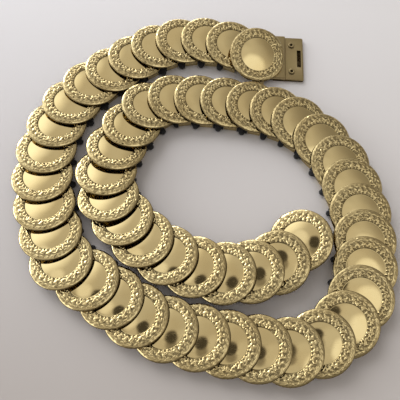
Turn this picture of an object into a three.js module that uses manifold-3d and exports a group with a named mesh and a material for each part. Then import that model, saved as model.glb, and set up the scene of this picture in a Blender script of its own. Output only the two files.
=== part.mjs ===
// Coin belt lying flat in a spiral: overlapping brass coins on links, joined by a black elastic core.
// Units are millimetres, +Z is up and the links rest on z = 0.
import * as THREE from 'three';
import { mergeVertices } from 'three/addons/utils/BufferGeometryUtils.js';
import Module from 'manifold-3d';

const wasm = await Module();
wasm.setup();

// Coin, a stamped disc. Heights are from the middle of its edge, along its own axis.
const COIN_RADIUS = 16;
const COIN_FACETS = 20;
const COIN_BACK = -0.6;
const RIM_TOP = 0.05;
const WREATH_OUTER_RADIUS = 13.4;
const WREATH_OUTER_TOP = 0.75;
const WREATH_INNER_RADIUS = 10.7;
const WREATH_INNER_TOP = 0.95;
const CENTRE_RADIUS = 9.9;
const CENTRE_EDGE_TOP = 0.12;
const CENTRE_TOP = 0.95;

// Link, a folded brass crossbar under each coin. Along the belt it lies behind the coin's middle.
const LINK_BACK = -6.4;
const LINK_FRONT = 0.6;
const LINK_HALF_WIDTH = 13.6;
const LINK_HEIGHT = 3.4;
const LINK_WALL = 0.7;
const TUNNEL_HALF_WIDTH = 11.2;
const BRIDGE_FRONT = -2.6;
const BRIDGE_HALF_WIDTH = 9;

// Each coin leans back on the next: its leading edge is up and its trailing edge is just over a link.
// The first coin also rolls towards the inner side. The last one leans more, and drops a little
// because its trailing edge falls beside a link.
const FIRST_COIN_LEAN = THREE.MathUtils.degToRad(11);
const FIRST_COIN_ROLL = THREE.MathUtils.degToRad(15);
const END_COIN_LEAN = THREE.MathUtils.degToRad(20);
const END_COIN_DROP = 0.4;
const CLEARANCE = 0.3;

// Elastic core. Between two links it stands out in a rounded loop on the inner side of the curve,
// except near the two ends, where it is stretched flat.
const ELASTIC_BOTTOM = 0.95;
const ELASTIC_THICKNESS = 1.5;
const ELASTIC_HALF_WIDTH = 10.5;
const LOOP_NECK = 14.7;
const LOOP_REACH = 1.8;
const LOOP_HALF_LENGTH = 1.7;
const LOOP_STEPS = 4;
const ELASTIC_STRETCHES = 5;
const COIN_BEFORE_FIRST_LOOP = 2;
const COIN_BEFORE_LAST_LOOP = 46;

// Slot plate at the first coin: a sheet folded double, with a higher bar that holds the end of the
// elastic. It lies a little off the coin's own line.
const SHEET = 0.8;
const SLOT_PLATE_SHIFT = { x: 0.5, y: 3.9 };
const SLOT_PLATE_HEIGHT = 2.2;
const SLOT_PLATE_WIDTH = 29.6;
const SLOT_PLATE_END = 27.2;
const BAR_START = 9.4;
const BAR_LENGTH = 7.2;
const SLOT_LENGTH = 12;
const SLOT_WIDTH = 2.3;
const SLOT_FROM_END = 2.6;
const RIVET_SPACING = 18.7;
const RIVET_FROM_END = 7;
const RIVET_HOLE_RADIUS = 1.5;

// Eyelet rivet: a tube with a flat rolled head on the plate.
const RIVET_RADIUS = 1.15;
const RIVET_HEAD_RADIUS = 1.9;
const RIVET_HEAD_HEIGHT = 0.5;
const RIVET_BORE_RADIUS = 0.75;
const RIVET_FACETS = 12;

// Hook plate at the last coin: a bar that holds the end of the elastic, with a narrow tongue that
// folds under as the hook.
const HOOK_BAR_WIDTH = 24.6;
const HOOK_BAR_START = 3.4;
const HOOK_BAR_LENGTH = 4.8;
const HOOK_PLATE_END = 13.8;
const HOOK_WIDTH = 10.5;
const HOOK_LENGTH = 4;
const HOOK_LIP_BOTTOM = 0.6;

// The lie of the belt, seen from above. The first coin is at START and the line sets off at
// START_HEADING. Each row is a stretch of so many steps from coin to coin, each pitch long, over
// which the heading turns evenly to the one given, in degrees counted on past a full turn. The coins
// there lean by so many degrees, and more where the belt turns tightly, to stay clear of each other.
const START = { x: 28.7, y: 91.7 };
const START_HEADING = 151;
const STRETCHES = [
  { steps: 1, pitch: 16.2, heading: 151, lean: 11 },
  { steps: 1, pitch: 14.8, heading: 170, lean: 10 },
  { steps: 3, pitch: 14.8, heading: 214, lean: 10 },
  { steps: 2, pitch: 15.1, heading: 222, lean: 9 },
  { steps: 5, pitch: 15.9, heading: 283, lean: 10 },
  { steps: 2, pitch: 15.9, heading: 297, lean: 10 },
  { steps: 1, pitch: 16.6, heading: 327, lean: 10 },
  { steps: 2, pitch: 14.8, heading: 328, lean: 9 },
  { steps: 2, pitch: 15.3, heading: 348, lean: 9 },
  { steps: 3, pitch: 14.5, heading: 357, lean: 10 },
  { steps: 4, pitch: 15.3, heading: 438, lean: 12 },
  { steps: 4, pitch: 14.7, heading: 472, lean: 10 },
  { steps: 2, pitch: 15.9, heading: 499, lean: 11 },
  { steps: 2, pitch: 13.4, heading: 527, lean: 11 },
  { steps: 3, pitch: 14.5, heading: 542, lean: 11 },
  { steps: 1, pitch: 14.7, heading: 559, lean: 13 },
  { steps: 1, pitch: 15.7, heading: 594, lean: 12 },
  { steps: 2, pitch: 15.5, heading: 615, lean: 13 },
  { steps: 2, pitch: 14.3, heading: 666, lean: 13 },
  { steps: 4, pitch: 14.9, heading: 710, lean: 11 },
  { steps: 2, pitch: 13.6, heading: 742, lean: 14 },
  { steps: 1, pitch: 16.2, heading: 766, lean: 16 },
];

// The end coins follow their plates, not the line.
const FIRST_COIN_HEADING = 172;
const SLOT_PLATE_HEADING = 180;
const LAST_COIN_HEADING = 735;
const HOOK_PLATE_HEADING = 728;

const brass = new THREE.MeshStandardMaterial({ color: 0xc4ab6a, metalness: 1, roughness: 0.28 });
const dullBrass = new THREE.MeshStandardMaterial({ color: 0xae9868, metalness: 1, roughness: 0.42 });
const black = new THREE.MeshStandardMaterial({ color: 0x111113, metalness: 0, roughness: 0.9 });

// A three.js geometry as a solid that can be cut and joined.
function toSolid(geometry) {
  const bare = geometry.clone();
  bare.deleteAttribute('normal');
  bare.deleteAttribute('uv');
  const merged = mergeVertices(bare, 1e-3);
  return new wasm.Manifold(new wasm.Mesh({
    numProp: 3,
    vertProperties: new Float32Array(merged.attributes.position.array),
    triVerts: new Uint32Array(merged.index.array),
  }));
}

function toGeometry(solid) {
  const mesh = solid.getMesh();
  const geometry = new THREE.BufferGeometry();
  geometry.setAttribute('position', new THREE.BufferAttribute(mesh.vertProperties, 3));
  geometry.setIndex(new THREE.BufferAttribute(mesh.triVerts, 1));
  geometry.computeVertexNormals();
  return geometry;
}

// A box given by its lowest and highest corner.
function boxBetween(low, high) {
  const size = high.map((value, axis) => value - low[axis]);
  const box = new THREE.BoxGeometry(...size);
  box.translate(...low.map((value, axis) => value + size[axis] / 2));
  return toSolid(box);
}

// Where each coin lies: its place, the way that it faces and its lean, in radians.
function layOut() {
  const rad = THREE.MathUtils.degToRad;
  const places = [new THREE.Vector2(START.x, START.y)];
  const steps = [];
  let from = START_HEADING;
  for (const stretch of STRETCHES) {
    for (let step = 1; step <= stretch.steps; step += 1) {
      const heading = rad(from + (stretch.heading - from) * step / stretch.steps);
      const move = new THREE.Vector2(Math.cos(heading), Math.sin(heading));
      steps.push({ heading, lean: rad(stretch.lean) });
      places.push(places.at(-1).clone().addScaledVector(move, stretch.pitch));
    }
    from = stretch.heading;
  }
  const last = places.length - 1;
  return places.map((place, k) => {
    if (k === 0) return { place, heading: rad(FIRST_COIN_HEADING), lean: FIRST_COIN_LEAN };
    if (k === last) return { place, heading: rad(LAST_COIN_HEADING), lean: END_COIN_LEAN };
    const [before, after] = [steps[k - 1], steps[k]];
    return { place, heading: (before.heading + after.heading) / 2, lean: (before.lean + after.lean) / 2 };
  });
}

// Height of a coin's middle, with its lowest edge just over the link behind it.
function coinHeight(lean, roll) {
  const tilt = Math.acos(Math.cos(lean) * Math.cos(roll));
  return LINK_HEIGHT + CLEARANCE + COIN_RADIUS * Math.sin(tilt) - COIN_BACK * Math.cos(tilt);
}

// One coin with its middle at height, soldered to its link. +X is along the belt. Its leading edge
// is up by the lean, and its inner edge is down by the roll.
function coinOnLink(lean, roll, height) {
  const tilted = (geometry) => toSolid(
    geometry.rotateX(-roll).rotateY(-lean).translate(0, 0, height),
  );
  const profile = [
    [0, COIN_BACK],
    [COIN_RADIUS, COIN_BACK],
    [COIN_RADIUS, RIM_TOP],
    [WREATH_OUTER_RADIUS, WREATH_OUTER_TOP],
    [WREATH_INNER_RADIUS, WREATH_INNER_TOP],
    [CENTRE_RADIUS, CENTRE_EDGE_TOP],
    [0, CENTRE_TOP],
  ].map(([radius, up]) => new THREE.Vector2(radius, up));
  const disc = new THREE.LatheGeometry(profile, COIN_FACETS);
  disc.rotateX(Math.PI / 2);

  const bar = boxBetween([LINK_BACK, -LINK_HALF_WIDTH, 0], [LINK_FRONT, LINK_HALF_WIDTH, LINK_HEIGHT]);
  const tunnel = boxBetween(
    [LINK_BACK - 1, -TUNNEL_HALF_WIDTH, LINK_WALL],
    [LINK_FRONT + 1, TUNNEL_HALF_WIDTH, LINK_HEIGHT - LINK_WALL],
  );
  const bridge = boxBetween(
    [LINK_BACK, -BRIDGE_HALF_WIDTH, LINK_HEIGHT - LINK_WALL / 2],
    [BRIDGE_FRONT, BRIDGE_HALF_WIDTH, height + COIN_RADIUS],
  );
  const aboveCoin = new THREE.BoxGeometry(4 * COIN_RADIUS, 4 * COIN_RADIUS, 4 * COIN_RADIUS);
  aboveCoin.translate(0, 0, 2 * COIN_RADIUS + COIN_BACK / 3);
  const solder = bridge.subtract(tilted(aboveCoin));
  return toGeometry(bar.subtract(tunnel).add(solder).add(tilted(disc)));
}

// A point given along and to the left of the belt at one coin, as seen from above.
function fromCoin({ place, heading }, along, left) {
  const cos = Math.cos(heading);
  const sin = Math.sin(heading);
  return new THREE.Vector2(place.x + along * cos - left * sin, place.y + along * sin + left * cos);
}

// The rounded loop of elastic between two necks, as points from the first neck to the second.
function loopBetween(first, second) {
  const middle = first.clone().add(second).multiplyScalar(0.5);
  const along = second.clone().sub(first).normalize();
  const left = new THREE.Vector2(-along.y, along.x);
  const points = [];
  for (let step = 0; step <= LOOP_STEPS; step += 1) {
    const angle = Math.PI * step / LOOP_STEPS;
    points.push(middle.clone()
      .addScaledVector(along, -LOOP_HALF_LENGTH * Math.cos(angle))
      .addScaledVector(left, LOOP_REACH * Math.sin(angle)));
  }
  return points;
}

// One stretch of elastic, through a row of holders from start in the first to end in the last. A
// holder is a link or an end plate, with the faces that the elastic enters and leaves it by.
function elasticStretch(holders, start, end) {
  const inner = [];
  const outer = [];
  holders.forEach((holder, k) => {
    const isFirst = k === 0;
    const isLast = k === holders.length - 1;
    const back = isFirst ? start : holder.back - CLEARANCE;
    const front = isLast ? end : holder.front + CLEARANCE;
    inner.push(fromCoin(holder, back, ELASTIC_HALF_WIDTH));
    inner.push(fromCoin(holder, front, ELASTIC_HALF_WIDTH));
    outer.push(fromCoin(holder, back, -ELASTIC_HALF_WIDTH));
    outer.push(fromCoin(holder, front, -ELASTIC_HALF_WIDTH));
    if (isLast || !holder.looped) return;
    const next = holders[k + 1];
    const neck = fromCoin(holder, front, LOOP_NECK);
    const nextNeck = fromCoin(next, next.back - CLEARANCE, LOOP_NECK);
    inner.push(neck, ...loopBetween(neck, nextNeck), nextNeck);
  });
  const outline = new THREE.Shape([...inner, ...outer.reverse()]);
  const body = new THREE.ExtrudeGeometry(outline, { depth: ELASTIC_THICKNESS, bevelEnabled: false });
  body.translate(0, 0, ELASTIC_BOTTOM);
  return toGeometry(toSolid(body));
}

// A bar with a pocket for the end of the elastic, open towards -X.
function pocketBar(start, length, halfWidth) {
  const bar = boxBetween([start, -halfWidth, 0], [start + length, halfWidth, LINK_HEIGHT]);
  const pocket = boxBetween(
    [start - 1, -TUNNEL_HALF_WIDTH, LINK_WALL],
    [start + length - SHEET, TUNNEL_HALF_WIDTH, LINK_HEIGHT - LINK_WALL],
  );
  return bar.subtract(pocket);
}

function slotPlate() {
  const half = SLOT_PLATE_WIDTH / 2;
  const topLeaf = boxBetween(
    [BAR_START + BAR_LENGTH - SHEET / 2, -half, SLOT_PLATE_HEIGHT - SHEET],
    [SLOT_PLATE_END, half, SLOT_PLATE_HEIGHT],
  );
  const fold = boxBetween(
    [SLOT_PLATE_END - SHEET, -half, 0],
    [SLOT_PLATE_END, half, SLOT_PLATE_HEIGHT],
  );
  const bottomLeaf = boxBetween([BAR_START, -half, 0], [SLOT_PLATE_END, half, SHEET]);
  const slotMiddle = SLOT_PLATE_END - SLOT_FROM_END;
  const slot = boxBetween(
    [slotMiddle - SLOT_WIDTH / 2, -SLOT_LENGTH / 2, SHEET + CLEARANCE],
    [slotMiddle + SLOT_WIDTH / 2, SLOT_LENGTH / 2, LINK_HEIGHT],
  );
  let plate = pocketBar(BAR_START, BAR_LENGTH, SLOT_PLATE_WIDTH / 2).add(topLeaf).add(fold).add(bottomLeaf);
  plate = plate.subtract(slot);
  for (const side of [-1, 1]) {
    const radius = RIVET_HOLE_RADIUS;
    const hole = new THREE.CylinderGeometry(radius, radius, 3 * LINK_HEIGHT, RIVET_FACETS);
    hole.rotateX(Math.PI / 2);
    hole.translate(SLOT_PLATE_END - RIVET_FROM_END, side * RIVET_SPACING / 2, LINK_HEIGHT);
    plate = plate.subtract(toSolid(hole));
  }
  return toGeometry(plate);
}

// The head stands just over the plate, and the shank ends just over the surface below.
function rivet() {
  const headBottom = SLOT_PLATE_HEIGHT + CLEARANCE;
  const headTop = headBottom + RIVET_HEAD_HEIGHT;
  const profile = [
    [0, CLEARANCE],
    [RIVET_RADIUS, CLEARANCE],
    [RIVET_RADIUS, headBottom],
    [RIVET_HEAD_RADIUS, headBottom],
    [RIVET_HEAD_RADIUS, headTop],
    [RIVET_BORE_RADIUS, headTop],
    [RIVET_BORE_RADIUS, headBottom - SHEET],
    [0, headBottom - SHEET],
  ].map(([radius, up]) => new THREE.Vector2(radius, up));
  const body = new THREE.LatheGeometry(profile, RIVET_FACETS);
  body.rotateX(Math.PI / 2);
  return toGeometry(toSolid(body));
}

function hookPlate() {
  const tongue = boxBetween(
    [HOOK_BAR_START, -HOOK_WIDTH / 2, LINK_HEIGHT - SHEET],
    [HOOK_PLATE_END, HOOK_WIDTH / 2, LINK_HEIGHT],
  );
  const fold = boxBetween(
    [HOOK_PLATE_END - SHEET, -HOOK_WIDTH / 2, HOOK_LIP_BOTTOM],
    [HOOK_PLATE_END, HOOK_WIDTH / 2, LINK_HEIGHT],
  );
  const lip = boxBetween(
    [HOOK_PLATE_END - HOOK_LENGTH, -HOOK_WIDTH / 2, HOOK_LIP_BOTTOM],
    [HOOK_PLATE_END, HOOK_WIDTH / 2, HOOK_LIP_BOTTOM + SHEET],
  );
  const bar = pocketBar(HOOK_BAR_START, HOOK_BAR_LENGTH, HOOK_BAR_WIDTH / 2);
  return toGeometry(bar.add(tongue).add(fold).add(lip));
}

const belt = new THREE.Group();
const coins = layOut();
const lastCoin = coins.at(-1);

function addPiece(name, geometry, material, place, heading, up = 0) {
  const mesh = new THREE.Mesh(geometry, material);
  mesh.name = name;
  mesh.position.set(place.x, place.y, up);
  mesh.rotation.z = heading;
  belt.add(mesh);
}

coins.forEach((coin, k) => {
  const roll = k === 0 ? FIRST_COIN_ROLL : 0;
  const drop = coin === lastCoin ? END_COIN_DROP : 0;
  const geometry = coinOnLink(coin.lean, roll, coinHeight(coin.lean, roll) - drop);
  addPiece(`coin_${String(k + 1).padStart(2, '0')}`, geometry, brass, coin.place, coin.heading);
});

// The elastic starts in the slot plate's pocket and ends in the hook plate's. Its stretches meet in
// the middle of a link, a clearance apart.
const slotPlateHeading = THREE.MathUtils.degToRad(SLOT_PLATE_HEADING);
const hookPlateHeading = THREE.MathUtils.degToRad(HOOK_PLATE_HEADING);
const links = coins.map((coin, k) => ({
  ...coin,
  back: LINK_BACK,
  front: LINK_FRONT,
  looped: k + 1 >= COIN_BEFORE_FIRST_LOOP && k + 1 <= COIN_BEFORE_LAST_LOOP,
}));
const slotPlatePlace = coins[0].place.clone().add(SLOT_PLATE_SHIFT);
const slotPocket = { place: slotPlatePlace, heading: slotPlateHeading, front: -BAR_START };
const hookPocket = { place: lastCoin.place, heading: hookPlateHeading, back: HOOK_BAR_START };
const pocketSpare = SHEET + CLEARANCE;
const linkMiddle = (LINK_BACK + LINK_FRONT) / 2;
const stretchSteps = (coins.length - 1) / ELASTIC_STRETCHES;
for (let k = 0; k < ELASTIC_STRETCHES; k += 1) {
  const holders = links.slice(k * stretchSteps, (k + 1) * stretchSteps + 1);
  let start = linkMiddle + CLEARANCE / 2;
  let end = linkMiddle - CLEARANCE / 2;
  if (k === 0) {
    holders.unshift(slotPocket);
    start = -BAR_START - BAR_LENGTH + pocketSpare;
  }
  if (k === ELASTIC_STRETCHES - 1) {
    holders.push(hookPocket);
    end = HOOK_BAR_START + HOOK_BAR_LENGTH - pocketSpare;
  }
  addPiece(`elastic_${k + 1}`, elasticStretch(holders, start, end), black, new THREE.Vector2(), 0);
}

// The slot plate is drawn pointing away from its coin, so it is turned half round.
const outwards = slotPlateHeading - Math.PI;
addPiece('slot_plate', slotPlate(), dullBrass, slotPlatePlace, outwards);
const rivetGeometry = rivet();
[-1, 1].forEach((side, k) => {
  const plate = { place: slotPlatePlace, heading: outwards };
  const place = fromCoin(plate, SLOT_PLATE_END - RIVET_FROM_END, side * RIVET_SPACING / 2);
  addPiece(`rivet_${k + 1}`, rivetGeometry, dullBrass, place, outwards);
});
addPiece('hook_plate', hookPlate(), dullBrass, lastCoin.place, hookPlateHeading);

// The origin is under the middle of the belt's outline, on the surface that it rests on.
const middle = new THREE.Box3().setFromObject(belt, true).getCenter(new THREE.Vector3());
belt.position.set(-middle.x, -middle.y, 0);

const part = new THREE.Group();
part.add(belt);
export default part;
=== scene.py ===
import math
import random

import bmesh
import bpy
import numpy as np
from mathutils import Matrix, Vector


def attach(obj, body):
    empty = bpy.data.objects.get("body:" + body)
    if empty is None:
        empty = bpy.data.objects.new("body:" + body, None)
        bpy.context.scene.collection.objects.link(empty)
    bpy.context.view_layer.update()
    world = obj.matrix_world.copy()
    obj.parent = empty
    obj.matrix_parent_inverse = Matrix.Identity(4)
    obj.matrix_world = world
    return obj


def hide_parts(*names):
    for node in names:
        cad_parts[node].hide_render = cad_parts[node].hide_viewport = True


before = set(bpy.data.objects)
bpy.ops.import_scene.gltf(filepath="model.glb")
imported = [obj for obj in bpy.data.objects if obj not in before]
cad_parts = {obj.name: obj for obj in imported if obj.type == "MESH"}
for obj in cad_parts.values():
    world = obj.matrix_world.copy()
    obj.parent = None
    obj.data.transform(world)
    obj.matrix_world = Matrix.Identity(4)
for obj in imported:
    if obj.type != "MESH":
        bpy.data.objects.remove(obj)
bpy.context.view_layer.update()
bpy.ops.object.select_all(action="DESELECT")


# The camera looks steeply down on the belt over the near edge of the spiral, with a normal lens.
# It is turned a little about its line of sight, so the belt's X direction falls to the right.
MM = 0.001
CAMERA_ELEVATION = math.radians(67)
CAMERA_TURN = math.radians(3)
CAMERA_DISTANCE = 285 * MM
CAMERA_NEAREST = 10 * MM
CAMERA_LENS = 50
CAMERA_SENSOR = 36
LOOK_AT = Vector((-0.458, -14.367, 7.3)) * MM

towards_camera = Vector((0, -math.cos(CAMERA_ELEVATION), math.sin(CAMERA_ELEVATION)))
bpy.ops.object.camera_add(location=LOOK_AT + towards_camera * CAMERA_DISTANCE)
camera = bpy.context.object
camera.name = "camera"
camera.rotation_mode = "ZYX"
camera.rotation_euler = (math.pi / 2 - CAMERA_ELEVATION, 0, CAMERA_TURN)
camera.data.lens = CAMERA_LENS
camera.data.sensor_width = CAMERA_SENSOR
camera.data.clip_start = CAMERA_NEAREST
bpy.context.scene.camera = camera


# Coin disc: stamped from thin brass sheet, polished, with a domed smooth centre inside a raised
# ring and a band that slopes to a thin turned-down edge. It is modelled flat at the origin, as a
# blank whose faces are pressed ring by ring, in millimetres up from just above its edge.
COIN_RADIUS = 16 * MM
COIN_STEPS = 240
CENTRE_RADIUS = 9.7
CENTRE_EDGE_UP = 0.12
CENTRE_RISE = 0.85
EDGE_TOP = -0.46
EDGE_BOTTOM = -0.6
WREATH_INNER_RADIUS = 10.0
WREATH_OUTER_RADIUS = 13.5
WREATH_GROUND = 0.42
WREATH_RINGS = 15
BAND_RINGS = [
    # radius and up, from the edge inwards
    (15.95, -0.36),
    (15.82, -0.2),
    (15.63, -0.05),
    (15.38, 0.07),
    (15.08, 0.15),
    (14.75, 0.21),
    (14.42, 0.27),
    (14.09, 0.33),
    (13.77, 0.39),
]
GROOVE_RINGS = [(9.85, 0.16), (CENTRE_RADIUS, CENTRE_EDGE_UP), (9.45, 0.17)]
CENTRE_RINGS = [8.6, 6.8, 4.6, 2.3]
BACK_RINGS = [(15.7, -0.56), (13.4, -0.1), (9.6, -0.4), (5.0, 0.1)]
FACING = 0.9  # how much of a face's normal lies along an axis that the face looks along


def select_faces(piece, wanted):
    """Selects the faces of the piece in edit mode for which wanted(face) is true, no others."""
    sheet = bmesh.from_edit_mesh(piece.data)
    for face in sheet.faces:
        face.select_set(False)
    for face in sheet.faces:
        if wanted(face):
            face.select_set(True)
    sheet.select_flush_mode()
    bmesh.update_edit_mesh(piece.data)


def press_rings(start_up, rings, side):
    """Presses the selected round face into rings of a radius and height each, down to a point."""
    radius, up = COIN_RADIUS, start_up * MM
    for ring_radius, ring_up in rings:
        step = radius - ring_radius * MM
        bpy.ops.mesh.inset(thickness=step, depth=side * (ring_up * MM - up))
        radius, up = ring_radius * MM, ring_up * MM
    bpy.ops.mesh.merge(type="COLLAPSE")


def centre_up(radius):
    """Height of the smooth centre, a shallow dome."""
    return CENTRE_EDGE_UP + CENTRE_RISE * (1 - (radius / CENTRE_RADIUS) ** 2)


def corner_places(piece):
    """The places of the piece's vertices, one row each."""
    flat = np.empty(3 * len(piece.data.vertices), dtype=np.float32)
    piece.data.vertices.foreach_get("co", flat)
    return flat.reshape(-1, 3)


def mark_corners(piece, name, values):
    """Keeps a value from 0 to 1 at each vertex, such as how dark the tarnish and painted shade lie
    there.
    """
    layer = piece.data.attributes.new(name, "FLOAT", "POINT")
    layer.data.foreach_set("value", np.asarray(values, dtype=np.float32))


bpy.ops.mesh.primitive_cylinder_add(
    vertices=COIN_STEPS, radius=COIN_RADIUS, depth=(EDGE_TOP - EDGE_BOTTOM) * MM,
    location=(0, 0, (EDGE_TOP + EDGE_BOTTOM) / 2 * MM), end_fill_type="NGON",
)
disc = bpy.context.object
disc.name = "coin_disc"
bpy.ops.object.transform_apply()
bpy.ops.object.mode_set(mode="EDIT")
bpy.ops.mesh.select_mode(type="FACE")
wreath_radii = np.linspace(WREATH_OUTER_RADIUS, WREATH_INNER_RADIUS, WREATH_RINGS)
front_rings = BAND_RINGS + [(float(radius), WREATH_GROUND) for radius in wreath_radii]
front_rings += GROOVE_RINGS + [(radius, centre_up(radius)) for radius in CENTRE_RINGS]
select_faces(disc, lambda face: face.normal.z > FACING)
press_rings(EDGE_TOP, front_rings, 1)
select_faces(disc, lambda face: face.normal.z < -FACING and len(face.verts) == COIN_STEPS)
press_rings(EDGE_BOTTOM, BACK_RINGS, -1)
bpy.ops.object.mode_set(mode="OBJECT")


# Wreath: rows of small laurel leaves, stamped in the same sheet round the smooth centre, each a
# flat plate that lies a little aslant and covers part of the one before. Small oval pits are
# punched between them, and in a chain of ovals on the sloping band outside.
RELIEF_HEIGHT = 0.48
LEAVES = [
    # radius of its middle, turn from the way round, length, width, height from 0 to 1, how many,
    # and how far the row starts ahead, as a share of one step, in the order of stamping
    dict(radius=14.5, turn=5, length=2.9, width=1.5, height=0.5, count=36, ahead=0.0),
    dict(radius=12.8, turn=-34, length=2.6, width=1.2, height=0.8, count=27, ahead=0.1),
    dict(radius=10.7, turn=-78, length=2.1, width=1.0, height=0.9, count=36, ahead=0.0),
    dict(radius=11.9, turn=34, length=3.2, width=1.5, height=1.0, count=22, ahead=0.4),
    dict(radius=11.3, turn=-40, length=2.3, width=1.0, height=1.0, count=22, ahead=0.9),
]
PITS = [
    # the same for the pits, which are punched last
    dict(radius=10.4, turn=-50, length=2.1, width=1.4, count=13, ahead=0.3),
    dict(radius=12.2, turn=30, length=1.9, width=1.2, count=12, ahead=0.0),
    dict(radius=14.5, turn=5, length=2.2, width=1.0, count=36, ahead=0.0),
]
STAMP_SEED = 18
STRAY_ROUND = 0.03
STRAY_OUT = 0.12
STRAY_TURN = 18
LEAF_SHOULDER = 0.35
LEAF_EDGE_HEIGHT = 0.3
LEAF_LEAST_HEIGHT = 0.8
LEAF_ASLANT = 0.3
LEAST_LIFT = 0.001
SIDE_SHADE_WIDTH = 0.26
LEAF_SHADE_DARK = 0.74
PIT_DEPTH = 0.7
PIT_SLOPE = 0.25
PIT_LEAST_DARK = 0.5
BACK_TARNISH = 0.6
DISC_CREASE = math.radians(60)
# tables of a radius and a value each: the height halfway through the sheet, where the stamp worked
# the brass, and how dark the tarnish and painted shade lie: none on the polished centre, painted
# shade in the groove round it, tarnish and painted shade over the wreath, less on the band, and a
# painted shadow line on the thin edge
SHEET_MIDDLE = [(9.7, -0.1), (13.2, 0.1), (16, -0.4)]
STAMP_WORKED = [(9.9, 0), (10.0, 1), (15.6, 1), (15.8, 0)]
TARNISH_AND_SHADE_BY_RADIUS = [
    (9.6, 0), (9.85, 0.9), (13.5, 0.9), (13.8, 0.6), (15.0, 0.6), (15.3, 0.1), (15.6, 0.1),
    (15.8, 1.1),
]


def at_radii(table, radii):
    """The table's values at the radii given."""
    return np.interp(radii, *zip(*table))


def over_mark(places, row, k, hand):
    """How far each place is across a mark, in half widths, and inside its edge, in millimetres."""
    stray_round = hand.uniform(-STRAY_ROUND, STRAY_ROUND)
    angle = 2 * math.pi * (k + row["ahead"]) / row["count"] + stray_round
    turn = angle + math.radians(90 + row["turn"] + hand.uniform(-STRAY_TURN, STRAY_TURN))
    radius = row["radius"] + hand.uniform(-STRAY_OUT, STRAY_OUT)
    x = places[:, 0] / MM - radius * math.cos(angle)
    y = places[:, 1] / MM - radius * math.sin(angle)
    along = (x * math.cos(turn) + y * math.sin(turn)) / (row["length"] / 2)
    across = (y * math.cos(turn) - x * math.sin(turn)) / (row["width"] / 2)
    inside = (np.clip(1 - along ** 2, 0, 1) - np.abs(across)) * row["width"] / 2
    return across, inside


def stamp_leaves(places):
    """How far the leaves lift the sheet at each place, from 0 to 1, and how dark the tarnish and
    painted shade lie there.
    """
    hand = random.Random(STAMP_SEED)
    lifted = np.zeros(len(places))
    # Painted shade: the ground between the leaves is dark, and a dark line runs along one side of
    # each leaf; the pits hold tarnish and painted shade.
    relief_tarnish_and_shade = np.full(len(places), LEAF_SHADE_DARK)
    for row in LEAVES:
        for k in range(row["count"]):
            across, inside = over_mark(places, row, k, hand)
            shoulder = np.sqrt(np.clip(inside / LEAF_SHOULDER, 0, 1))
            aslant = 1 + LEAF_ASLANT * np.clip(across, -1, 1) * hand.choice((-1, 1))
            height = row["height"] * hand.uniform(LEAF_LEAST_HEIGHT, 1)
            leaf = height * (LEAF_EDGE_HEIGHT + (1 - LEAF_EDGE_HEIGHT) * shoulder) * aslant
            lifted = np.where(inside > 0, leaf, lifted)
            side_shade = LEAF_SHADE_DARK * np.clip(1 - inside / SIDE_SHADE_WIDTH, 0, 1) * (across < 0)
            relief_tarnish_and_shade = np.where(inside > 0, side_shade, relief_tarnish_and_shade)
    for row in PITS:
        for k in range(row["count"]):
            across, inside = over_mark(places, row, k, hand)
            pit = np.clip(inside / (row["width"] * PIT_SLOPE), 0, 1)
            lifted = lifted * (1 - PIT_DEPTH * pit)
            relief_tarnish_and_shade = np.maximum(relief_tarnish_and_shade, hand.uniform(PIT_LEAST_DARK, 1) * pit)
    return lifted, relief_tarnish_and_shade


places = corner_places(disc)
radii = np.hypot(places[:, 0], places[:, 1]) / MM
on_front = places[:, 2] / MM > at_radii(SHEET_MIDDLE, radii)
worked = at_radii(STAMP_WORKED, radii) * on_front
lifted, relief_tarnish_and_shade = stamp_leaves(places)
lifted = np.clip(lifted * worked, 0, 1)

stamp = disc.vertex_groups.new(name="stamp")
for index in np.flatnonzero(lifted > LEAST_LIFT):
    stamp.add([int(index)], float(lifted[index]), "REPLACE")
pressing = disc.modifiers.new("stamped leaves", "DISPLACE")
pressing.direction = "Z"
pressing.mid_level = 0
pressing.strength = RELIEF_HEIGHT * MM
pressing.vertex_group = stamp.name
bpy.ops.object.modifier_apply(modifier=pressing.name)

# Tarnish and painted shade lie in the pits and between the leaves. Painted shade also runs along
# one side of each leaf, in the groove round the centre and as a dark line on the thin edge, and
# tarnish lies evenly on the back.
front_tarnish_and_shade = np.clip(relief_tarnish_and_shade * at_radii(TARNISH_AND_SHADE_BY_RADIUS, radii), 0, 1)
mark_corners(disc, "tarnish_and_shade", np.where(on_front, front_tarnish_and_shade, BACK_TARNISH))
mark_corners(disc, "worked", np.where(on_front, worked, 1))
bpy.ops.object.shade_smooth_by_angle(angle=DISC_CREASE)


# Link: a crossbar of folded brass under each coin, open along the belt for the elastic. The coin
# is soldered to its top along a short bridge. The coins lean more where the belt turns tightly,
# and the first one also rolls to one side.
LINK_BACK = -6.4
LINK_FRONT = 0.6
LINK_HALF_WIDTH = 13.6
LINK_HEIGHT = 3.4
LINK_WALL = 0.6
LINK_CORNER = 0.45
LINK_EDGE = 0.1
LINK_TARNISH = 0.35
BRIDGE_FRONT = -2.6
BRIDGE_HALF_WIDTH = 9
BRIDGE_EDGE = 0.25
FIRST_COIN_LEAN = math.radians(11)
FIRST_COIN_ROLL = math.radians(15)
END_COIN_LEAN = math.radians(20)
END_COIN_DROP = 0.4
CLEARANCE = 0.3
COIN_BACK = -0.6
COIN_COUNT = 51
COIN_TURN_SEED = 51
LEAST_EDGE = math.radians(40)
LEAST_FOLD = math.radians(30)
SAME_LEVEL = 0.01
SAME_LENGTH = 0.05


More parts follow.
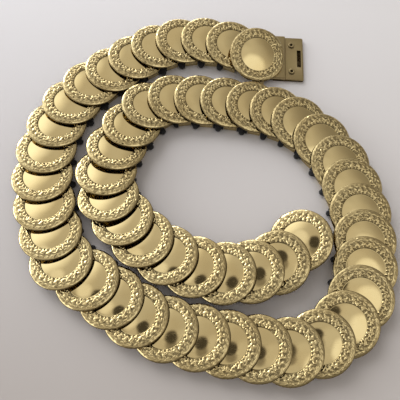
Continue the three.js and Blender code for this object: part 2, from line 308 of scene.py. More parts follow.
def add_box(name, low, high):
    """A box between its lowest and highest corner, in millimetres."""
    bpy.ops.object.select_all(action="DESELECT")
    size = [(top - bottom) * MM for bottom, top in zip(low, high)]
    middle = [(top + bottom) / 2 * MM for bottom, top in zip(low, high)]
    bpy.ops.mesh.primitive_cube_add(size=1, location=middle, scale=size)
    box = bpy.context.object
    box.name = name
    bpy.ops.object.transform_apply()
    return box


def drop_faces(piece, unwanted):
    """Deletes the faces for which unwanted(face) is true."""
    bpy.ops.object.mode_set(mode="EDIT")
    bpy.ops.mesh.select_mode(type="FACE")
    select_faces(piece, unwanted)
    bpy.ops.mesh.delete(type="FACE")
    bpy.ops.object.mode_set(mode="OBJECT")


def apply_modifier(piece, kind, **settings):
    """Adds a modifier with the settings given, and applies it."""
    bpy.context.view_layer.objects.active = piece
    modifier = piece.modifiers.new(kind.title(), kind)
    for name, value in settings.items():
        setattr(modifier, name, value)
    bpy.ops.object.modifier_apply(modifier=modifier.name)


def round_edges(piece, width, segments=2):
    """Rounds the piece's sharp edges."""
    apply_modifier(
        piece, "BEVEL", width=width * MM, segments=segments, limit_method="ANGLE",
        angle_limit=LEAST_EDGE, use_clamp_overlap=True,
    )


def round_folds(piece, radius, segments=4):
    """Rounds the folds of an open sheet, where two of its faces meet at an angle."""
    bpy.ops.object.mode_set(mode="EDIT")
    bpy.ops.mesh.select_mode(type="EDGE")
    folds = bmesh.from_edit_mesh(piece.data)
    for edge in folds.edges:
        edge.select_set(len(edge.link_faces) == 2 and edge.calc_face_angle() > LEAST_FOLD)
    bmesh.update_edit_mesh(piece.data)
    bpy.ops.mesh.bevel(offset=radius * MM, segments=segments)
    bpy.ops.object.mode_set(mode="OBJECT")


def join_pieces(first, others):
    """Joins the others to the first piece, as one object."""
    bpy.ops.object.select_all(action="DESELECT")
    for piece in [first, *others]:
        piece.select_set(True)
    bpy.context.view_layer.objects.active = first
    bpy.ops.object.join()
    return first


def fold_link():
    """The link at the origin: a strip folded round into a flat tube, open along the belt."""
    link = add_box(
        "link", (LINK_BACK, -LINK_HALF_WIDTH, 0), (LINK_FRONT, LINK_HALF_WIDTH, LINK_HEIGHT),
    )
    drop_faces(link, lambda face: abs(face.normal.x) > FACING)
    round_folds(link, LINK_CORNER)
    apply_modifier(link, "SOLIDIFY", thickness=LINK_WALL * MM, offset=-1)
    round_edges(link, LINK_EDGE, 1)
    return link


class Lie:
    """How a coin lies on its link: its lean along the belt, its roll and its middle's height."""

    def __init__(self, lean, roll=0.0, drop=0.0):
        tilt = math.acos(math.cos(lean) * math.cos(roll))
        edge_drop = COIN_RADIUS / MM * math.sin(tilt) - COIN_BACK * math.cos(tilt)
        self.lean = lean
        self.roll = roll
        self.height = LINK_HEIGHT + CLEARANCE + edge_drop - drop
        self.bridge = self.solder_bridge()

    def place_disc(self):
        raised = Matrix.Translation((0, 0, self.height * MM))
        return raised @ Matrix.Rotation(-self.lean, 4, "Y") @ Matrix.Rotation(-self.roll, 4, "X")

    def solder_bridge(self):
        """The bridge of solder that carries the coin, from the link up into its underside."""
        bridge = add_box(
            "bridge", (LINK_BACK, -BRIDGE_HALF_WIDTH, LINK_HEIGHT - LINK_WALL / 2),
            (BRIDGE_FRONT, BRIDGE_HALF_WIDTH, LINK_HEIGHT + 1),
        )
        along_slope = math.tan(self.lean)
        across_slope = math.tan(self.roll) / math.cos(self.lean)
        for corner in bridge.data.vertices:
            if corner.co.z > LINK_HEIGHT * MM:
                rise = corner.co.x * along_slope - corner.co.y * across_slope
                corner.co.z = (self.height + COIN_BACK / 3) * MM + rise
        round_edges(bridge, BRIDGE_EDGE)
        mark_corners(bridge, "tarnish_and_shade", np.full(len(bridge.data.vertices), LINK_TARNISH))
        mark_corners(bridge, "worked", np.ones(len(bridge.data.vertices)))
        return bridge


def coin_on_link(name, lie, turn):
    """A disc turned about its own axis and tilted, with its bridge and link, at the origin."""
    parts = []
    for part in (disc, link, lie.bridge):
        copy = part.copy()
        copy.data = part.data.copy()
        bpy.context.collection.objects.link(copy)
        parts.append(copy)
    parts[0].data.transform(lie.place_disc() @ Matrix.Rotation(turn, 4, "Z"))
    coin = join_pieces(parts[0], parts[1:])
    coin.name = name
    return coin


def read_place(node):
    """Where a coin lies, from its node: the point under its middle, its heading and its lean."""
    places = corner_places(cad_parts[node]) / MM
    foot = np.unique(places[places[:, 2] < SAME_LEVEL].round(3), axis=0)
    middle = foot.mean(axis=0)
    ends = [corner[:2] for corner in foot if np.hypot(*(corner - middle)[:2]) > LINK_HALF_WIDTH]
    pairs = [(np.hypot(*(b - a)), b - a) for a in ends for b in ends]
    side = next(gap for length, gap in pairs if abs(length - 2 * LINK_HALF_WIDTH) < SAME_LENGTH)
    top = places[places[:, 2] > places[:, 2].max() - SAME_LEVEL].mean(axis=0)
    ahead = Vector((side[1], -side[0], 0)).normalized()
    if ahead.dot(Vector((top[0] - middle[0], top[1] - middle[1], 0))) < 0:
        ahead = -ahead
    under = Vector((middle[0], middle[1], 0)) - ahead * (LINK_BACK + LINK_FRONT) / 2
    front = places[np.argmax(places[:, 0] * ahead.x + places[:, 1] * ahead.y)]
    rise = (front[2] - LINK_HEIGHT - CLEARANCE) * MM
    return under * MM, math.atan2(ahead.y, ahead.x), math.asin(rise / (2 * COIN_RADIUS))


link = fold_link()
mark_corners(link, "tarnish_and_shade", np.full(len(link.data.vertices), LINK_TARNISH))
mark_corners(link, "worked", np.ones(len(link.data.vertices)))
coin_nodes = [f"coin_{k:02d}" for k in range(1, COIN_COUNT + 1)]
readings = [read_place(node) for node in coin_nodes]
coin_places = [(under, heading) for under, heading, lean in readings]
lies = [Lie(FIRST_COIN_LEAN, roll=FIRST_COIN_ROLL)]
lies += [Lie(lean) for under, heading, lean in readings[1:-1]]
lies += [Lie(END_COIN_LEAN, drop=END_COIN_DROP)]
turns = random.Random(COIN_TURN_SEED)
coins = []
for node, (under, heading), lie in zip(coin_nodes, coin_places, lies):
    coin = coin_on_link(f"{node}_stamped", lie, turns.uniform(0, 2 * math.pi))
    coin.data.transform(Matrix.Translation(under) @ Matrix.Rotation(heading, 4, "Z"))
    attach(coin, "root")
    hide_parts(node)
    coins.append(coin)
for pattern in [disc, link] + [lie.bridge for lie in lies]:
    bpy.data.objects.remove(pattern)


# Coin brass: pale gold and polished, with dark brown tarnish and painted shade in the hollows of
# the wreath. The ring and band are uneven from the stamp, and all of it has faint waves, smears
# and scratches.
BRASS = (0.86, 0.70, 0.36, 1)
BRASS_WARM = (0.82, 0.65, 0.32, 1)
# the dark brown of the tarnish and of the painted shade
TARNISH_AND_SHADE_BROWN = (0.035, 0.02, 0.008, 1)
COIN_ROUGHNESS = (0.04, 0.1)
COIN_SCRATCHES = 0.25
TARNISH_ROUGHNESS = 0.3
WORKED_ROUGHNESS = 0.02
SMEAR_SCALE = 70
SPECK_SCALE = 900
WAVE_SCALE = 110
WAVE_DEPTH = 0.1 * MM
UNEVEN_SCALE = 950
UNEVEN_DEPTH = 0.08 * MM
UNEVEN_STRENGTH = 0.15
SCRATCH_STRETCH = (260, 9000, 260)
SCRATCH_TURNS = (0.5, 1.9, 2.8)
SCRATCH_DEPTH = 0.008 * MM


class Nodes:
    """A short way to write a material's nodes: each call adds one and sets or links its inputs."""

    def __init__(self, name):
        self.material = bpy.data.materials.new(name)
        self.material.use_nodes = True
        self.tree = self.material.node_tree
        self.shader = self.tree.nodes["Principled BSDF"]

    def add(self, kind, settings=None, **inputs):
        node = self.tree.nodes.new(kind)
        for name, value in (settings or {}).items():
            setattr(node, name, value)
        for name, value in inputs.items():
            self.set(node, name.replace("_", " "), value)
        return node

    def set(self, node, name, value):
        socket = node.inputs[int(name)] if name.isdigit() else node.inputs[name]
        if isinstance(value, bpy.types.NodeSocket):
            self.tree.links.new(value, socket)
        else:
            socket.default_value = value

    def ramp(self, value, low, high, to_low=0.0, to_high=1.0):
        node = self.add("ShaderNodeMapRange", Value=value)
        node.inputs["From Min"].default_value = low
        node.inputs["From Max"].default_value = high
        node.inputs["To Min"].default_value = to_low
        node.inputs["To Max"].default_value = to_high
        return node.outputs["Result"]

    def mix(self, share, first, second):
        node = self.add("ShaderNodeMix", {"data_type": "RGBA"})
        self.set(node, "0", share)
        self.set(node, "6", first)
        self.set(node, "7", second)
        return node.outputs[2]

    def math(self, operation, first, second):
        node = self.add("ShaderNodeMath", {"operation": operation})
        self.set(node, "0", first)
        self.set(node, "1", second)
        return node.outputs[0]

    def noise(self, place, scale, detail=2.0, roughness=0.5, stretch=None, turn=0.0):
        if stretch:
            mapping = self.add("ShaderNodeMapping", Vector=place)
            mapping.inputs["Rotation"].default_value = (0, 0, turn)
            mapping.inputs["Scale"].default_value = stretch
            place = mapping.outputs[0]
        return self.add(
            "ShaderNodeTexNoise", Vector=place, Scale=scale, Detail=detail, Roughness=roughness,
        ).outputs[0]

    def corner_value(self, name):
        return self.add("ShaderNodeAttribute", {"attribute_name": name}).outputs["Fac"]

    def bump(self, height, strength, distance, normal=None):
        node = self.add("ShaderNodeBump", Height=height, Strength=strength, Distance=distance)
        if normal:
            self.set(node, "Normal", normal)
        return node.outputs[0]


def brass_material(name, colours, roughness, scratches):
    """Brass with tarnish and painted shade in its hollows, smears, scratches and a slightly uneven
    surface.
    """
    nodes = Nodes(name)
    place = nodes.add("ShaderNodeTexCoord").outputs["Object"]
    tarnish_and_shade = nodes.corner_value("tarnish_and_shade")
    worked = nodes.corner_value("worked")
    smear = nodes.noise(place, SMEAR_SCALE, 3, 0.55)
    speck = nodes.noise(place, SPECK_SCALE, 4, 0.65)

    # the tarnish and painted shade, speckled, darken the brass towards the dark brown
    speckled_tarnish_and_shade = nodes.math("MULTIPLY", tarnish_and_shade, nodes.ramp(speck, 0.3, 0.6, 0.7, 1.1))
    metal = nodes.mix(nodes.ramp(smear, 0.4, 0.65), colours[0], colours[1])
    nodes.set(nodes.shader, "Base Color", nodes.mix(speckled_tarnish_and_shade, metal, TARNISH_AND_SHADE_BROWN))
    nodes.shader.inputs["Metallic"].default_value = 1.0

    shine = nodes.ramp(smear, 0.35, 0.7, roughness[0], roughness[1])
    shine = nodes.math("ADD", shine, nodes.math("MULTIPLY", worked, WORKED_ROUGHNESS))
    dull = nodes.math("MULTIPLY", speckled_tarnish_and_shade, TARNISH_ROUGHNESS)
    nodes.set(nodes.shader, "Roughness", nodes.math("ADD", shine, dull))

    waves = nodes.bump(nodes.noise(place, WAVE_SCALE, 1, 0.4), 0.2, WAVE_DEPTH)
    uneven = nodes.math("MULTIPLY", worked, UNEVEN_STRENGTH)
    last = nodes.bump(nodes.noise(place, UNEVEN_SCALE, 2, 0.5), uneven, UNEVEN_DEPTH, waves)
    for turn in SCRATCH_TURNS:
        lines = nodes.noise(place, 1, 2, 0.5, SCRATCH_STRETCH, turn)
        last = nodes.bump(nodes.ramp(lines, 0.68, 0.74), scratches, SCRATCH_DEPTH, last)
    nodes.set(nodes.shader, "Normal", last)
    return nodes.material


coin_brass = brass_material("coin_brass", (BRASS, BRASS_WARM), COIN_ROUGHNESS, COIN_SCRATCHES)
for coin in coins:
    coin.data.materials.clear()
    coin.data.materials.append(coin_brass)


# Elastic core: one black woven band through all the links. Between two links it stands out on the
# inner side of the curve in a rounded loop, except near the ends, where it is stretched flat. It
# is in five stretches, which meet inside links, where no end shows.
ELASTIC_BOTTOM = 0.95
ELASTIC_THICKNESS = 1.5
ELASTIC_HALF_WIDTH = 10.5
LOOP_NECK = 14.7
LOOP_REACH = 1.8
LOOP_HALF_LENGTH = 1.7
LOOP_OUTER_SPREAD = 0.6
LOOP_STEPS = 8
ELASTIC_STRETCHES = 5
COIN_BEFORE_FIRST_LOOP = 2
COIN_BEFORE_LAST_LOOP = 46
BAR_START = 9.4
BAR_LENGTH = 7.2
POCKET_WALL = 0.8
HOOK_BAR_START = 3.4
HOOK_BAR_LENGTH = 4.8
SLOT_PLATE_SHIFT = Vector((0.5, 3.9, 0)) * MM
SLOT_PLATE_HEADING = math.radians(180)
HOOK_PLATE_HEADING = math.radians(728)  # headings count on round both turns of the spiral
POCKET_SPARE = POCKET_WALL + CLEARANCE
ELASTIC_BLACK = (0.012, 0.012, 0.014, 1)
ELASTIC_GREY = (0.05, 0.05, 0.055, 1)
ELASTIC_CREASE = math.radians(50)
CHART_SIZE = 0.2
RIB_SCALE = 95.0
THREAD_SCALE = 140.0
FIBRE_SCALE = 1500
WEAVE_DEPTH = 0.3 * MM


def from_place(place, along, left):
    """A point given in millimetres along and to the left of a place, as seen from above."""
    under, heading = place
    ahead = Vector((math.cos(heading), math.sin(heading), 0))
    aside = Vector((-math.sin(heading), math.cos(heading), 0))
    return under + (ahead * along + aside * left) * MM


def loop_sections(place, leave, next_place, enter):
    """The sections of one loop, from the neck at one holder to the neck at the next."""
    neck = from_place(place, leave, LOOP_NECK)
    next_neck = from_place(next_place, enter, LOOP_NECK)
    outer = from_place(place, leave, -ELASTIC_HALF_WIDTH)
    next_outer = from_place(next_place, enter, -ELASTIC_HALF_WIDTH)
    middle = (neck + next_neck) / 2
    ahead = (next_neck - neck).normalized()
    aside = Vector((-ahead.y, ahead.x, 0))
    sections = [(neck, outer)]
    for step in range(LOOP_STEPS + 1):
        angle = math.pi * step / LOOP_STEPS
        bulge = ahead * -LOOP_HALF_LENGTH * math.cos(angle) + aside * LOOP_REACH * math.sin(angle)
        share = (1 - math.cos(angle)) / 2 * LOOP_OUTER_SPREAD + (1 - LOOP_OUTER_SPREAD) / 2
        sections.append((middle + bulge * MM, outer.lerp(next_outer, share)))
    sections.append((next_neck, next_outer))
    return sections


def elastic_sections(holders, start, end):
    """Pairs of an inner and an outer edge point along one stretch, through a row of holders."""
    sections = []
    for k, (place, back, front, looped) in enumerate(holders):
        is_last = k == len(holders) - 1
        enter = start if k == 0 else back - CLEARANCE
        leave = end if is_last else front + CLEARANCE
        for along in (enter, leave):
            edge = from_place(place, along, ELASTIC_HALF_WIDTH)
            sections.append((edge, from_place(place, along, -ELASTIC_HALF_WIDTH)))
        if looped and not is_last:
            next_place, next_back = holders[k + 1][:2]
            sections += loop_sections(place, leave, next_place, next_back - CLEARANCE)
    return sections


def band_ring():
    """The band's rounded cross-section: a share of its width, a shift aside and a height."""
    edge = 0.5 * ELASTIC_THICKNESS * MM
    ring = []
    for angle in (-90, -45, 0, 45, 90):
        turn = math.radians(angle)
        ring.append((1, edge * math.cos(turn) - edge, edge * math.sin(turn)))
    ring += [(0.6, 0, edge), (0.2, 0, edge)]
    for angle in (90, 135, 180, 225, 270):
        turn = math.radians(angle)
        ring.append((0, edge * math.cos(turn) + edge, edge * math.sin(turn)))
    return ring + [(0.2, 0, -edge), (0.6, 0, -edge)]


def weave_band(name, sections):
    """A closed band through the sections, with a map of its length and width."""
    ring = band_ring()
    size = len(ring)
    middle_up = (ELASTIC_BOTTOM + ELASTIC_THICKNESS / 2) * MM
    corners = []
    lengths = []
    travelled = 0.0
    last_middle = sections[0][1].lerp(sections[0][0], 0.5)
    for inner, outer in sections:
        aside = (inner - outer).normalized()
        middle = outer.lerp(inner, 0.5)
        travelled += (middle - last_middle).length
        last_middle = middle
        for share, shift, up in ring:
            raised = Vector((0, 0, middle_up + up))
            corners.append(outer.lerp(inner, share) + aside * shift + raised)
            lengths.append((travelled, share * (inner - outer).length + shift))
    faces = []
    for k in range(len(sections) - 1):
        for j in range(size):
            a, b = k * size + j, k * size + (j + 1) % size
            faces.append((a, b, b + size, a + size))
    faces.append(tuple(reversed(range(size))))
    faces.append(tuple(range((len(sections) - 1) * size, len(sections) * size)))
    mesh = bpy.data.meshes.new(name)
    mesh.from_pydata(corners, [], faces)
    chart = mesh.uv_layers.new(name="length_and_width")
    for loop in mesh.loops:
        along, across = lengths[loop.vertex_index]
        chart.data[loop.index].uv = (along / CHART_SIZE, across / CHART_SIZE)
    band = bpy.data.objects.new(name, mesh)
    bpy.context.collection.objects.link(band)
    bpy.ops.object.select_all(action="DESELECT")
    band.select_set(True)
    bpy.context.view_layer.objects.active = band
    bpy.ops.object.mode_set(mode="EDIT")
    bpy.ops.mesh.select_all(action="SELECT")
    bpy.ops.mesh.normals_make_consistent(inside=False)
    bpy.ops.object.mode_set(mode="OBJECT")
    bpy.ops.object.shade_smooth_by_angle(angle=ELASTIC_CREASE)
    return band


def elastic_material():
    """Matt black woven elastic: ribs across the band and fine threads along it."""
    nodes = Nodes("elastic_weave")
    chart = nodes.add("ShaderNodeUVMap", {"uv_map": "length_and_width"}).outputs[0]
    across, along = {"bands_direction": "X"}, {"bands_direction": "Y"}
    ribs = nodes.add("ShaderNodeTexWave", across, Vector=chart, Scale=RIB_SCALE, Distortion=0.6)
    threads = nodes.add(
        "ShaderNodeTexWave", along, Vector=chart, Scale=THREAD_SCALE, Distortion=1.2,
    )
    weave = nodes.math("MULTIPLY", ribs.outputs[1], threads.outputs[1])
    place = nodes.add("ShaderNodeTexCoord").outputs["Object"]
    shade = nodes.math("MULTIPLY", weave, nodes.noise(place, FIBRE_SCALE, 4, 0.7))
    colour = nodes.mix(nodes.ramp(shade, 0, 0.5), ELASTIC_BLACK, ELASTIC_GREY)
    nodes.set(nodes.shader, "Base Color", colour)
    nodes.shader.inputs["Roughness"].default_value = 0.85
    nodes.shader.inputs["Sheen Weight"].default_value = 0.3
    nodes.shader.inputs["Sheen Roughness"].default_value = 0.5
    nodes.set(nodes.shader, "Normal", nodes.bump(shade, 0.8, WEAVE_DEPTH))
    return nodes.material


elastic_weave = elastic_material()
first_under, last_under = coin_places[0][0], coin_places[-1][0]
slot_plate_place = (first_under + SLOT_PLATE_SHIFT, SLOT_PLATE_HEADING)
hook_plate_place = (last_under, HOOK_PLATE_HEADING)
slot_pocket = (slot_plate_place, -BAR_START - BAR_LENGTH, -BAR_START, False)
hook_pocket = (hook_plate_place, HOOK_BAR_START, HOOK_BAR_START + HOOK_BAR_LENGTH, False)
link_holders = []
for number, place in enumerate(coin_places, start=1):
    looped = COIN_BEFORE_FIRST_LOOP <= number <= COIN_BEFORE_LAST_LOOP
    link_holders.append((place, LINK_BACK, LINK_FRONT, looped))
link_middle = (LINK_BACK + LINK_FRONT) / 2
steps_each = (len(coin_nodes) - 1) // ELASTIC_STRETCHES
for k in range(ELASTIC_STRETCHES):
    holders = link_holders[k * steps_each:(k + 1) * steps_each + 1]
    start, end = link_middle + CLEARANCE / 2, link_middle - CLEARANCE / 2
    if k == 0:
        holders.insert(0, slot_pocket)
        start = -BAR_START - BAR_LENGTH + POCKET_SPARE
    if k == ELASTIC_STRETCHES - 1:
        holders.append(hook_pocket)
        end = HOOK_BAR_START + HOOK_BAR_LENGTH - POCKET_SPARE
    sections = elastic_sections(holders, start, end)
    band = weave_band(f"elastic_{k + 1}_woven", sections)
    band.data.materials.append(elastic_weave)
    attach(band, "root")
    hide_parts(f"elastic_{k + 1}")


# Slot plate: one strip of duller brass, folded double at its outer edge. Next to the coin it steps
# up into a bar that holds the end of the elastic. The slot for the hook is punched near the fold.
SLOT_PLATE_HEIGHT = 2.2
SLOT_PLATE_HALF_WIDTH = 14.8
SLOT_PLATE_END = 27.2
SLOT_LENGTH = 12
SLOT_WIDTH = 2.3
SLOT_FROM_END = 2.6
RIVET_SPACING = 18.7
RIVET_FROM_END = 7
RIVET_HOLE_RADIUS = 1.5
RIVET_STEPS = 32
CLASP_SHEET = 0.6
SLOT_PLATE_FOLD = 0.5
SLOT_PLATE_EDGE = 0.12
SAME_PLACE = 0.001 * MM
CLASP_CREASE = math.radians(35)
CLASP_BRASS = (0.50, 0.40, 0.20, 1)
CLASP_BRASS_WARM = (0.47, 0.365, 0.19, 1)
CLASP_ROUGHNESS = (0.3, 0.42)
CLASP_SCRATCHES = 0.6
CLASP_TARNISH = 0.1
INSIDE_FOLD_SHADE = 1.0
INSIDE_MARGIN = 0.1


def fold_strip(name, start, width, path):
    """A thin strip from start, folded along a path of points, each a way along and a height."""
    bpy.ops.object.select_all(action="DESELECT")
    x, z = start
    first_x = path[0][0]
    bpy.ops.mesh.primitive_plane_add(size=1, location=((x + first_x) / 2 * MM, 0, z * MM))
    strip = bpy.context.object
    strip.name = name
    strip.scale = (abs(first_x - x) * MM, width * MM, 1)
    bpy.ops.object.transform_apply(location=True, rotation=True, scale=True)
    bpy.ops.object.mode_set(mode="EDIT")
    bpy.ops.mesh.select_mode(type="EDGE")
    sheet = bmesh.from_edit_mesh(strip.data)
    for edge in sheet.edges:
        at_end = [abs(corner.co.x - first_x * MM) < SAME_PLACE for corner in edge.verts]
        edge.select_set(all(at_end))
    bmesh.update_edit_mesh(strip.data)
    for (x, z), (next_x, next_z) in zip(path, path[1:]):
        move = ((next_x - x) * MM, 0, (next_z - z) * MM)
        bpy.ops.mesh.extrude_region_move(TRANSFORM_OT_translate={"value": move})
    bpy.ops.mesh.select_all(action="SELECT")
    bpy.ops.mesh.normals_make_consistent(inside=False)
    bpy.ops.object.mode_set(mode="OBJECT")
    return strip


def cut_with(piece, cutter):
    """Cuts the cutter's form out of the piece, and removes the cutter."""
    apply_modifier(piece, "BOOLEAN", object=cutter, operation="DIFFERENCE", solver="EXACT")
    bpy.data.objects.remove(cutter)


def finish_clasp_piece(piece, node, place, heading):
    """Puts a clasp piece in its place, gives it its finish, and hides the node that it stands for.
    """
    corners = len(piece.data.vertices)
    for name in ("tarnish_and_shade", "worked"):
        if name not in piece.data.attributes:
            mark_corners(piece, name, np.full(corners, CLASP_TARNISH))
    bpy.ops.object.select_all(action="DESELECT")
    piece.select_set(True)
    bpy.context.view_layer.objects.active = piece
    bpy.ops.object.shade_smooth_by_angle(angle=CLASP_CREASE)
    piece.data.transform(Matrix.Translation(place) @ Matrix.Rotation(heading, 4, "Z"))
    piece.data.materials.clear()
    piece.data.materials.append(clasp_brass)
    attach(piece, "root")
    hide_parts(node)


clasp_brass = brass_material(
    "clasp_brass", (CLASP_BRASS, CLASP_BRASS_WARM), CLASP_ROUGHNESS, CLASP_SCRATCHES,
)
outwards = SLOT_PLATE_HEADING - math.pi
half_sheet = CLASP_SHEET / 2
bar_end = BAR_START + BAR_LENGTH - half_sheet
plate_end = SLOT_PLATE_END - half_sheet
slot_plate = fold_strip(
    "slot_plate_folded", (BAR_START, half_sheet), 2 * SLOT_PLATE_HALF_WIDTH,
    [
        (plate_end, half_sheet),
        (plate_end, SLOT_PLATE_HEIGHT - half_sheet),
        (bar_end, SLOT_PLATE_HEIGHT - half_sheet),
        (bar_end, LINK_HEIGHT - half_sheet),
        (BAR_START, LINK_HEIGHT - half_sheet),
    ],
)
round_folds(slot_plate, SLOT_PLATE_FOLD)
apply_modifier(slot_plate, "SOLIDIFY", thickness=CLASP_SHEET * MM, offset=0)
slot_middle = SLOT_PLATE_END - SLOT_FROM_END
cut_with(slot_plate, add_box(
    "slot_punch",
    (slot_middle - SLOT_WIDTH / 2, -SLOT_LENGTH / 2, SLOT_PLATE_HEIGHT - 2 * CLASP_SHEET),
    (slot_middle + SLOT_WIDTH / 2, SLOT_LENGTH / 2, SLOT_PLATE_HEIGHT + 1),
))
for side in (-1, 1):
    bpy.ops.object.select_all(action="DESELECT")
    bpy.ops.mesh.primitive_cylinder_add(
        vertices=RIVET_STEPS, radius=RIVET_HOLE_RADIUS * MM, depth=4 * SLOT_PLATE_HEIGHT * MM,
        location=((SLOT_PLATE_END - RIVET_FROM_END) * MM, side * RIVET_SPACING / 2 * MM, 0),
    )
    rivet_punch = bpy.context.object
    bpy.ops.object.transform_apply()
    cut_with(slot_plate, rivet_punch)
round_edges(slot_plate, SLOT_PLATE_EDGE)
# Painted shade: the faces inside the fold, between the two leaves, are made nearly black.
plate_ups = corner_places(slot_plate)[:, 2] / MM
inside_low = CLASP_SHEET - INSIDE_MARGIN
inside = (plate_ups > inside_low) & (plate_ups < SLOT_PLATE_HEIGHT - inside_low)
mark_corners(slot_plate, "tarnish_and_shade", np.where(inside, INSIDE_FOLD_SHADE, CLASP_TARNISH))
finish_clasp_piece(slot_plate, "slot_plate", slot_plate_place[0], outwards)


# Eyelet rivets: two short brass tubes that hold the plate's leaves together. The top of each tube
# is rolled outwards into a round lip that lies on the plate, and its bore is open.
RIVET_RADIUS = 1.15
RIVET_BORE_RADIUS = 0.75
RIVET_BORE_DEPTH = 1.7
RIVET_LIP_RADIUS = 1.3
RIVET_LIP_WIDTH = 0.5
RIVET_LIP_FLATNESS = 0.55
RIVET_LIP_STEPS = 12
RIVET_TOP = 2.75
# Painted shade: each rivet is darkest low down, in its bore and under its lip, and keeps light
# tarnish at the top of the lip.
RIVET_TARNISH_AND_SHADE = [(RIVET_TOP - 0.2, 1.0), (RIVET_TOP + 0.2, 0.2)]  # height and darkness


def turn_rivet():
    """An eyelet rivet standing at the origin: a bored shank with a flattened round lip."""
    bpy.ops.object.select_all(action="DESELECT")
    bpy.ops.mesh.primitive_cylinder_add(
        vertices=RIVET_STEPS, radius=RIVET_RADIUS * MM, depth=(RIVET_TOP - CLEARANCE) * MM,
        location=(0, 0, (RIVET_TOP + CLEARANCE) / 2 * MM), end_fill_type="NGON",
    )
    shank = bpy.context.object
    bpy.ops.object.transform_apply()
    bpy.ops.object.mode_set(mode="EDIT")
    bpy.ops.mesh.select_mode(type="FACE")
    select_faces(shank, lambda face: face.normal.z > FACING)
    bpy.ops.mesh.inset(thickness=(RIVET_RADIUS - RIVET_BORE_RADIUS) * MM)
    down = (0, 0, -RIVET_BORE_DEPTH * MM)
    bpy.ops.mesh.extrude_region_move(TRANSFORM_OT_translate={"value": down})
    bpy.ops.object.mode_set(mode="OBJECT")
    bpy.ops.object.select_all(action="DESELECT")
    bpy.ops.mesh.primitive_torus_add(
        major_segments=RIVET_STEPS, minor_segments=RIVET_LIP_STEPS,
        major_radius=RIVET_LIP_RADIUS * MM, minor_radius=RIVET_LIP_WIDTH * MM,
        location=(0, 0, RIVET_TOP * MM),
    )
    lip = bpy.context.object
    lip.scale = (1, 1, RIVET_LIP_FLATNESS)
    bpy.ops.object.transform_apply()
    return join_pieces(shank, [lip])


for k, side in enumerate((-1, 1)):
    rivet = turn_rivet()
    rivet.name = f"rivet_{k + 1}_rolled"
    lifts = corner_places(rivet)[:, 2] / MM
    # painted shade in the bore and under the lip, with light tarnish on top
    mark_corners(rivet, "tarnish_and_shade", np.interp(lifts, *zip(*RIVET_TARNISH_AND_SHADE)))
    seat = from_place(
        (slot_plate_place[0], outwards), SLOT_PLATE_END - RIVET_FROM_END, side * RIVET_SPACING / 2,
    )
    finish_clasp_piece(rivet, f"rivet_{k + 1}", seat, outwards)


# Hook plate: a bar of the same brass that holds the other end of the elastic, with a narrow tongue
# that is folded under as the hook. It lies hidden below the last coin.
HOOK_BAR_HALF_WIDTH = 12.3
HOOK_PLATE_END = 13.8
HOOK_WIDTH = 10.5
HOOK_LENGTH = 4
HOOK_LIP_BOTTOM = 0.6
HOOK_FOLD = 0.7
HOOK_BAR_FOLD = 0.4
HOOK_PLATE_EDGE = 0.1

hook_end = HOOK_PLATE_END - half_sheet
lip_up = HOOK_LIP_BOTTOM + half_sheet
tongue_start = (HOOK_BAR_START + HOOK_BAR_LENGTH / 2, LINK_HEIGHT - half_sheet)
tongue = fold_strip(
    "hook_plate_folded", tongue_start, HOOK_WIDTH,
    [
        (hook_end, LINK_HEIGHT - half_sheet),
        (hook_end, lip_up),
        (HOOK_PLATE_END - HOOK_LENGTH, lip_up),
    ],
)
round_folds(tongue, HOOK_FOLD)
apply_modifier(tongue, "SOLIDIFY", thickness=CLASP_SHEET * MM, offset=0)
hook_bar = add_box(
    "hook_bar", (HOOK_BAR_START, -HOOK_BAR_HALF_WIDTH, 0),
    (HOOK_BAR_START + HOOK_BAR_LENGTH, HOOK_BAR_HALF_WIDTH, LINK_HEIGHT),
)
drop_faces(hook_bar, lambda face: face.normal.x < -FACING)
round_folds(hook_bar, HOOK_BAR_FOLD)
apply_modifier(hook_bar, "SOLIDIFY", thickness=CLASP_SHEET * MM, offset=-1)
hook_plate = join_pieces(tongue, [hook_bar])
round_edges(hook_plate, HOOK_PLATE_EDGE)
finish_clasp_piece(hook_plate, "hook_plate", hook_plate_place[0], HOOK_PLATE_HEADING)


# The surface under the belt is pale and matt. Its colour carries painted light and shade: lightest
# and a little cool at the far left, towards the windows, and darker and warmer near by, most of
# all at the left.
FLOOR_SIZE = 3.0
FLOOR_DROP = 0.03 * MM
FLOOR_ROUGHNESS = 0.6
FLOOR_LEFT_TO_RIGHT = (-0.12, 0.13)
FLOOR_NEAR_TO_FAR = (-0.14, 0.12)
FLOOR_PAINTED_LIGHT = {
    "far left": (0.97, 0.96, 1.0, 1),
    "far right": (0.86, 0.84, 0.85, 1),
    "near left": (0.50, 0.455, 0.43, 1),
    "near right": (0.64, 0.595, 0.57, 1),
}

bpy.ops.object.select_all(action="DESELECT")
bpy.ops.mesh.primitive_plane_add(size=FLOOR_SIZE, location=(0, 0, -FLOOR_DROP))
floor = bpy.context.object
floor.name = "pale_surface"
surface = Nodes("pale_surface")
place = surface.add("ShaderNodeTexCoord").outputs["Object"]
split = surface.add("ShaderNodeSeparateXYZ", Vector=place)
to_right = surface.ramp(split.outputs["X"], *FLOOR_LEFT_TO_RIGHT)
to_far = surface.ramp(split.outputs["Y"], *FLOOR_NEAR_TO_FAR)
# painted light and shade: the colour falls off from the far left to the near side
far = surface.mix(to_right, FLOOR_PAINTED_LIGHT["far left"], FLOOR_PAINTED_LIGHT["far right"])
near = surface.mix(to_right, FLOOR_PAINTED_LIGHT["near left"], FLOOR_PAINTED_LIGHT["near right"])
surface.set(surface.shader, "Base Color", surface.mix(to_far, near, far))
surface.shader.inputs["Roughness"].default_value = FLOOR_ROUGHNESS
floor.data.materials.append(surface.material)


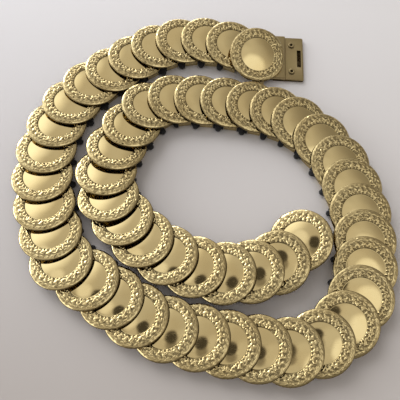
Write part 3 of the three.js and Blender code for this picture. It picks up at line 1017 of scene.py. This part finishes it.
# Light: a soft room, with broad windows low at the far left. It is dimmer and warmer to the right
# and on the near side, and uneven overhead, with a small dark patch that the centres mirror.
WORLD_BRIGHTNESS = 1.25
WORLD_MIDDLE = 0.46
WORLD_DIM_TINT = (1.0, 0.89, 0.76, 1)
WORLD_BRIGHT_TINT = (0.98, 0.99, 1.0, 1)
WORLD_PATCHES = [
    # degrees from straight up and round from +X, half width and soft edge, and brightness
    dict(from_up=88, round=275, wide=44, soft=28, level=0.15),
    dict(from_up=62, round=32, wide=14, soft=32, level=0.2),
    dict(from_up=62, round=135, wide=8, soft=26, level=1.15),
    dict(from_up=80, round=131, wide=7, soft=10, level=6.0),
    dict(from_up=83, round=165, wide=8, soft=12, level=4.0),
    dict(from_up=84, round=98, wide=6, soft=9, level=4.0),
    dict(from_up=76, round=205, wide=10, soft=16, level=1.6),
    dict(from_up=16, round=100, wide=6, soft=12, level=0.42),
    dict(from_up=39, round=176, wide=4, soft=8, level=0.3),
    dict(from_up=30, round=157, wide=4, soft=6, level=0.72),
    dict(from_up=5, round=50, wide=6, soft=8, level=0.5),
    dict(from_up=19, round=328, wide=10, soft=7, level=0.8),
    dict(from_up=12, round=190, wide=3, soft=5, level=0.2),
    dict(from_up=14, round=154, wide=5, soft=3, level=0.05),
]

world = bpy.data.worlds.new("soft_room")
bpy.context.scene.world = world
world.use_nodes = True
tree = world.node_tree
background = tree.nodes["Background"]
way = tree.nodes.new("ShaderNodeTexCoord").outputs["Generated"]


def world_math(operation, *values):
    """Adds a math node to the room, with its values set or linked."""
    node = tree.nodes.new("ShaderNodeMath")
    node.operation = operation
    for socket, value in zip(node.inputs, values):
        if isinstance(value, bpy.types.NodeSocket):
            tree.links.new(value, socket)
        else:
            socket.default_value = value
    return node.outputs[0]


level = WORLD_MIDDLE
for patch in WORLD_PATCHES:
    down, turn = math.radians(patch["from_up"]), math.radians(patch["round"])
    dot = tree.nodes.new("ShaderNodeVectorMath")
    dot.operation = "DOT_PRODUCT"
    tree.links.new(way, dot.inputs[0])
    dot.inputs[1].default_value = (
        math.sin(down) * math.cos(turn), math.sin(down) * math.sin(turn), math.cos(down),
    )
    fade = tree.nodes.new("ShaderNodeMapRange")
    fade.interpolation_type = "SMOOTHSTEP"
    tree.links.new(dot.outputs["Value"], fade.inputs["Value"])
    fade.inputs["From Min"].default_value = math.cos(math.radians(patch["wide"] + patch["soft"]))
    fade.inputs["From Max"].default_value = math.cos(math.radians(patch["wide"]))
    towards = world_math("SUBTRACT", patch["level"], level)
    level = world_math("MULTIPLY_ADD", towards, fade.outputs["Result"], level)
tint = tree.nodes.new("ShaderNodeMix")
tint.data_type = "RGBA"
tree.links.new(level, tint.inputs[0])
tint.inputs[6].default_value = WORLD_DIM_TINT
tint.inputs[7].default_value = WORLD_BRIGHT_TINT
tree.links.new(tint.outputs[2], background.inputs["Color"])
tree.links.new(world_math("MULTIPLY", level, WORLD_BRIGHTNESS), background.inputs["Strength"])
bpy.context.scene.view_settings.view_transform = "Standard"


# Lamp: one wide soft lamp, halfway up at the far left. It lights the pale surface and the elastic,
# and it isn't mirrored in the brass, which shows the room alone.
LAMP_FROM_UP = math.radians(46)
LAMP_ROUND = math.radians(130)
LAMP_SPREAD = math.radians(35)
LAMP_STRENGTH = 0.6

bpy.ops.object.light_add(type="SUN")
lamp = bpy.context.object
lamp.name = "wide_soft_lamp"
lamp.rotation_euler = (0, LAMP_FROM_UP, LAMP_ROUND)
lamp.data.angle = LAMP_SPREAD
lamp.data.energy = LAMP_STRENGTH
lamp.visible_glossy = False
